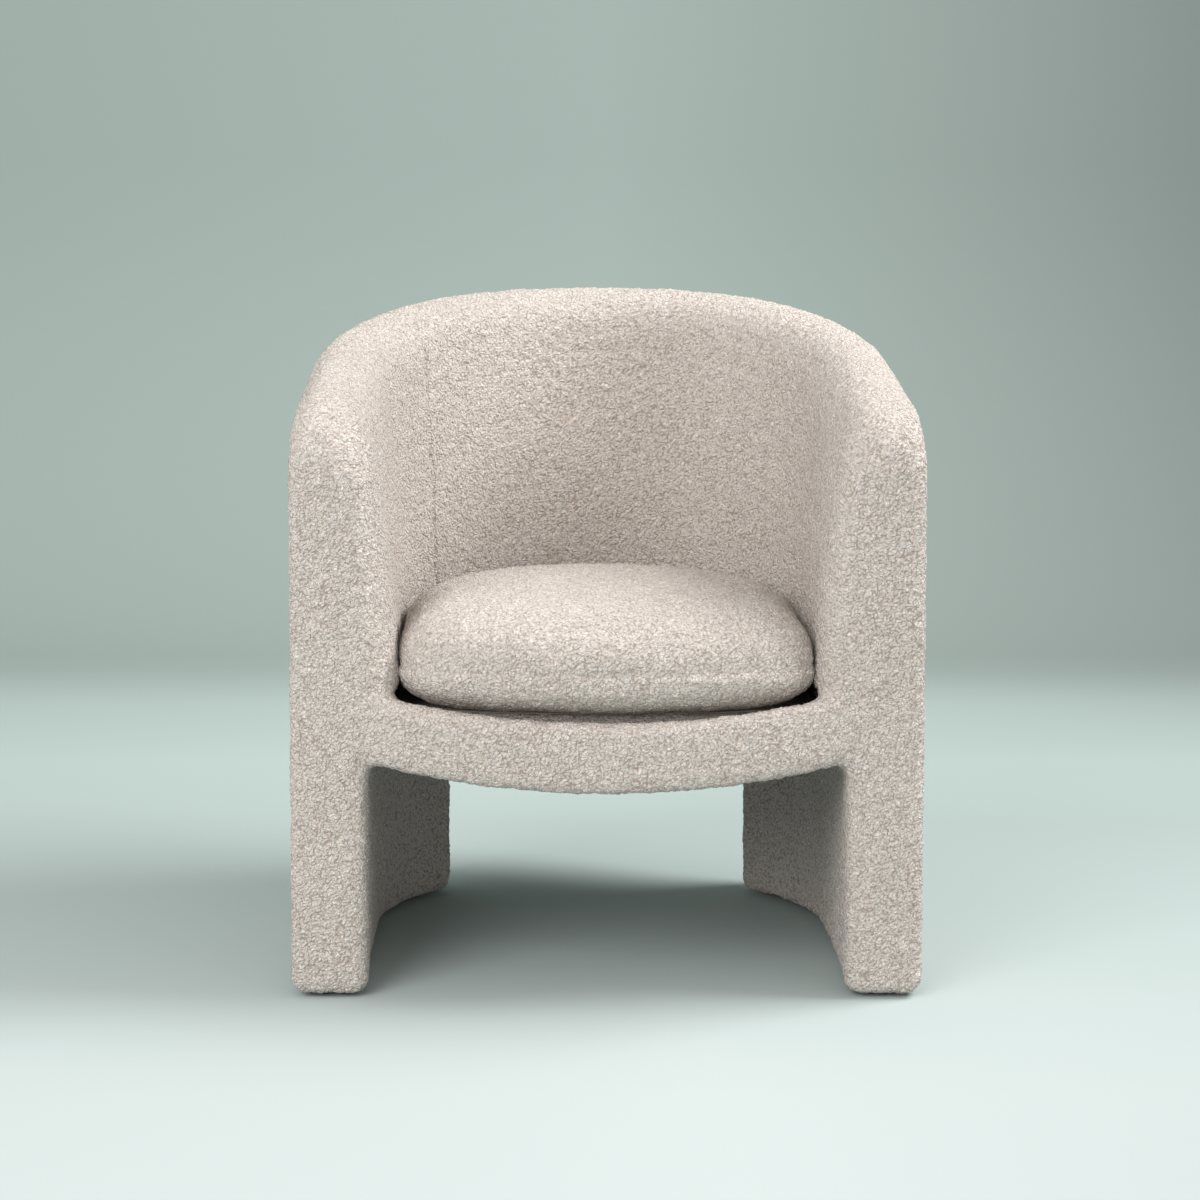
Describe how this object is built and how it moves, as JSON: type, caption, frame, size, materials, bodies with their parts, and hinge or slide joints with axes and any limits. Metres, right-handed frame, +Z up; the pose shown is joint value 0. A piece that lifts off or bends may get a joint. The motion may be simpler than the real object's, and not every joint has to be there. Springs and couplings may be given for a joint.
{
  "type": "tub chair",
  "caption": "Upholstered tub chair with a sloping rolled wall, two wide curved panel legs, a bowed front rail and a loose D-shaped cushion.",
  "frame": {"origin": "on the floor under the middle of the chair's bounding box", "axes": "+Z up, -Y towards the open front of the chair, +X to the right seen from the front"},
  "size_m": [0.71, 0.69, 0.808],
  "materials": {
    "looped_cloth": "nubby looped weave, matte",
    "foam": "cut upholstery foam",
    "fibre": "soft fibre batting",
    "plywood": "raw birch plywood",
    "timber": "raw beech",
    "webbing": "elastic webbing",
    "deck_cloth": "plain lining cloth",
    "dust_cloth": "thin non-woven cloth",
    "glide_nylon": "dark moulded nylon",
    "zip_tape": "woven zip tape",
    "zip_metal": "small die-cast slider"
  },
  "bodies": {
    "chair": {"arm_cover_right": "looped_cloth", "arm_cover_left": "looped_cloth", "inside_back_cover": "looped_cloth", "outside_arm_cover_right": "looped_cloth", "outside_arm_cover_left": "looped_cloth", "outside_back_cover": "looped_cloth", "leg_cover_right": "looped_cloth", "leg_cover_left": "looped_cloth", "back_rail_cover": "looped_cloth", "front_rail_cover": "looped_cloth", "arm_foam_right": "foam", "arm_foam_left": "foam", "back_foam": "foam", "leg_foam_right": "foam", "leg_foam_left": "foam", "back_rail_foam": "foam", "front_rail_foam": "foam", "deck_foam": "foam", "leg_base_plate_right": "plywood", "leg_base_plate_left": "plywood", "seat_ring": "plywood", "seat_rim": "plywood", "top_rail_right": "plywood", "top_rail_left": "plywood", "top_rail_back": "plywood", "back_board": "plywood", "leg_posts_right": "timber", "leg_posts_left": "timber", "arm_posts_right": "timber", "arm_posts_left": "timber", "back_posts": "timber", "front_rail_board": "timber", "seat_webbing": "webbing", "deck_cloth": "deck_cloth", "dust_cover": "dust_cloth", "glides_right": "glide_nylon", "glides_left": "glide_nylon"},
    "cushion": {"cushion_core": "foam", "cushion_wrap": "fibre", "cushion_top_cover": "looped_cloth", "cushion_bottom_cover": "looped_cloth", "cushion_zip": "zip_tape"},
    "zip_slider": {"zip_slider": "zip_metal"}
  },
  "joints": [
    {"name": "cushion_lift", "type": "slide", "parent": "chair", "child": "cushion", "axis": [0, 0, 1], "range_m": [0, 0.5]},
    {"name": "zip_slide", "type": "hinge", "parent": "cushion", "child": "zip_slider", "pos_m": [0, -0.01, 0.371], "axis": [0, 0, 1], "range_deg": [-105, 0]}
  ]
}
